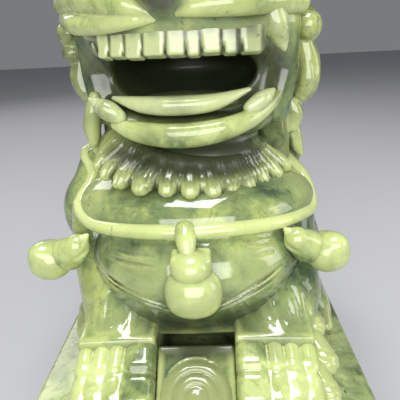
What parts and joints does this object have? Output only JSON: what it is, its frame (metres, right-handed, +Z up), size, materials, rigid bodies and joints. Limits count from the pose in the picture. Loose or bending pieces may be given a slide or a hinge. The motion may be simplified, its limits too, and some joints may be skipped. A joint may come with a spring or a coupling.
{
  "type": "guardian lion statue",
  "caption": "Seated roaring guardian lion carved in polished green stone, with bell, strap and tassels, on a rectangular plinth.",
  "frame": {"origin": "centre of the plinth's underside", "axes": "+Z up; the lion faces -Y and its own left side is +X"},
  "size_m": [0.102, 0.136, 0.1739],
  "materials": {
    "plinth_stone": "polished mottled green stone with dark specks",
    "body_stone": "polished olive green stone with cloudy patches",
    "mane_stone": "carved green stone, polished on its ridges and duller in its grooves",
    "raised_stone": "polished yellow-green stone where the carving stands out",
    "mouth_stone": "polished green stone of the teeth and tongue"
  },
  "bodies": {
    "root": {"plinth": "plinth_stone", "paw_web": "body_stone", "ringed_boss": "raised_stone", "torso": "body_stone", "spine_ridge": "mane_stone", "tail": "mane_stone", "left_haunch": "body_stone", "right_haunch": "body_stone", "left_hind_paw": "body_stone", "right_hind_paw": "body_stone", "left_hind_toes": "raised_stone", "right_hind_toes": "raised_stone", "left_foreleg": "body_stone", "right_foreleg": "body_stone", "left_foretoes": "raised_stone", "right_foretoes": "raised_stone", "left_foreclaws": "raised_stone", "right_foreclaws": "raised_stone", "left_leg_tufts": "mane_stone", "right_leg_tufts": "mane_stone", "chest_strap": "raised_stone", "bell_hanger": "raised_stone", "bell_crown": "raised_stone", "bell": "raised_stone", "left_tassel_cap": "raised_stone", "right_tassel_cap": "raised_stone", "left_tassel_end": "raised_stone", "right_tassel_end": "raised_stone", "beard_ruff": "mane_stone", "skull": "body_stone", "lower_jaw": "body_stone", "lower_lip": "raised_stone", "tongue": "mouth_stone", "upper_teeth": "mouth_stone", "upper_fangs": "mouth_stone", "lower_fangs": "mouth_stone", "left_upper_lip": "raised_stone", "right_upper_lip": "raised_stone", "nose": "raised_stone", "left_eye": "raised_stone", "right_eye": "raised_stone", "left_eyebrow": "raised_stone", "right_eyebrow": "raised_stone", "left_ear": "raised_stone", "right_ear": "raised_stone", "left_mane_lock": "mane_stone", "right_mane_lock": "mane_stone", "left_mane_curls": "mane_stone", "right_mane_curls": "mane_stone", "back_mane_curls": "mane_stone", "crown_curls": "mane_stone"}
  },
  "joints": []
}
